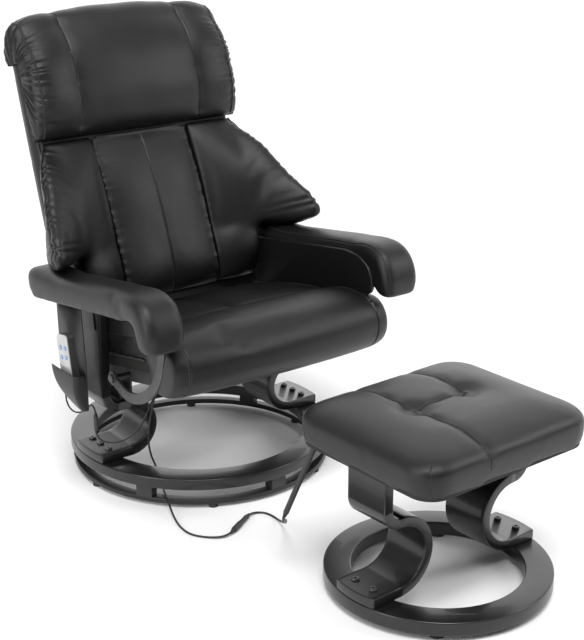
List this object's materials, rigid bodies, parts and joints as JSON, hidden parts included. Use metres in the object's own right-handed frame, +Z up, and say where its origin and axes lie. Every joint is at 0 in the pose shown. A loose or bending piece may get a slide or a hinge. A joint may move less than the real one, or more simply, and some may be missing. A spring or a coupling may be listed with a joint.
{
  "type": "massage recliner with footstool",
  "caption": "Padded swivel recliner on a ring base with bentwood legs, winged tilting backrest, handset in a side pocket, and a wired footstool to match.",
  "frame": {"origin": "middle of the footprint of chair and footstool together, at floor level", "axes": "+Z up, the chair faces -Y, the sitter's right hand is at -X"},
  "size_m": [0.6906, 1.3638, 0.9806],
  "materials": {
    "black_leather": "soft grained faux leather, satin",
    "black_wood": "black satin paint over bentwood",
    "plywood": "raw plywood",
    "black_steel": "black powder coat",
    "bolt_steel": "blackened steel",
    "nylon": "black nylon",
    "glide_rubber": "black rubber",
    "black_plastic": "moulded black plastic",
    "silver_plastic": "silver grey moulding",
    "button_plastic": "blue grey moulding",
    "circuit": "green circuit board",
    "lead_jacket": "black flexible jacket"
  },
  "bodies": {
    "floor_base": {"floor_ring": "black_steel", "floor_glides": "glide_rubber", "swivel_blocks": "nylon", "stool_lead_floor": "lead_jacket", "lead_connector": "black_plastic", "stool_lead_rise": "lead_jacket"},
    "swivel_base": {"swivel_ring": "black_wood", "leg_right": "black_wood", "leg_left": "black_wood", "frame_bolts": "bolt_steel", "seat_brackets": "black_steel", "seat_rails": "black_steel", "cross_tubes": "black_steel", "hinge_plates": "black_steel", "hinge_pins": "bolt_steel", "lock_pads": "nylon", "seat_frame": "plywood", "seat_board": "plywood", "seat_cushion": "black_leather", "seat_motors": "black_plastic", "arm_board_right": "plywood", "arm_board_left": "plywood", "arm_brackets": "black_steel", "arm_pad_right": "black_leather", "arm_pad_left": "black_leather", "control_box": "black_plastic", "power_inlet": "black_plastic", "side_pocket": "black_leather", "lever_stud": "bolt_steel", "stool_lead_upper": "lead_jacket", "handset_lead_lower": "lead_jacket", "handset_plug": "black_plastic", "handset_lead": "lead_jacket"},
    "backrest": {"back_frame": "black_steel", "back_board": "plywood", "back_shell": "black_leather", "back_cushion": "black_leather", "back_motors": "black_plastic", "wing_right": "black_leather", "wing_left": "black_leather", "head_pillow": "black_leather"},
    "recline_lever": {"recline_lever": "black_steel"},
    "handset": {"handset_case": "black_plastic", "handset_face": "silver_plastic", "handset_board": "circuit"},
    "footstool": {"stool_ring": "black_wood", "stool_glides": "glide_rubber", "stool_legs": "black_wood", "stool_bolts": "bolt_steel", "stool_brackets": "black_steel", "stool_board": "plywood", "stool_cushion": "black_leather", "stool_motors": "black_plastic", "lead_sleeve": "lead_jacket"},
    "power_button": {"power_button": "button_plastic"},
    "mode_button": {"mode_button": "button_plastic"},
    "strength_button": {"strength_button": "button_plastic"},
    "heat_button": {"heat_button": "button_plastic"}
  },
  "joints": [
    {"name": "swivel", "type": "hinge", "parent": "floor_base", "child": "swivel_base", "pos_m": [0.00502, 0.29308, 0], "axis": [0, 0, 1], "continuous": true},
    {"name": "recline", "type": "hinge", "parent": "swivel_base", "child": "backrest", "pos_m": [0.00502, 0.4083, 0.26492], "axis": [-1, 0, 0], "range_deg": [0, 35]},
    {"name": "lever_turn", "type": "hinge", "parent": "swivel_base", "child": "recline_lever", "pos_m": [-0.26398, 0.20384, 0.27246], "axis": [1, 0, 0], "range_deg": [0, 12], "stiffness_Nm_per_rad": 8, "springref_deg": -8.59},
    {"name": "handset_lift", "type": "slide", "parent": "swivel_base", "child": "handset", "axis": [0, 0.1736, 0.9848], "range_m": [0, 0.055]},
    {"name": "stool_slide", "type": "slide", "parent": "floor_base", "child": "footstool", "axis": [0, -1, 0], "range_m": [-0.1, 0.1]},
    {"name": "power_button_press", "type": "slide", "parent": "handset", "child": "power_button", "axis": [1, 0, 0], "range_m": [0, 0.001], "stiffness_N_per_m": 1200, "springref_m": -0.0004},
    {"name": "mode_button_press", "type": "slide", "parent": "handset", "child": "mode_button", "axis": [1, 0, 0], "range_m": [0, 0.001], "stiffness_N_per_m": 1200, "springref_m": -0.0004},
    {"name": "strength_button_press", "type": "slide", "parent": "handset", "child": "strength_button", "axis": [1, 0, 0], "range_m": [0, 0.001], "stiffness_N_per_m": 1200, "springref_m": -0.0004},
    {"name": "heat_button_press", "type": "slide", "parent": "handset", "child": "heat_button", "axis": [1, 0, 0], "range_m": [0, 0.001], "stiffness_N_per_m": 1200, "springref_m": -0.0004}
  ]
}
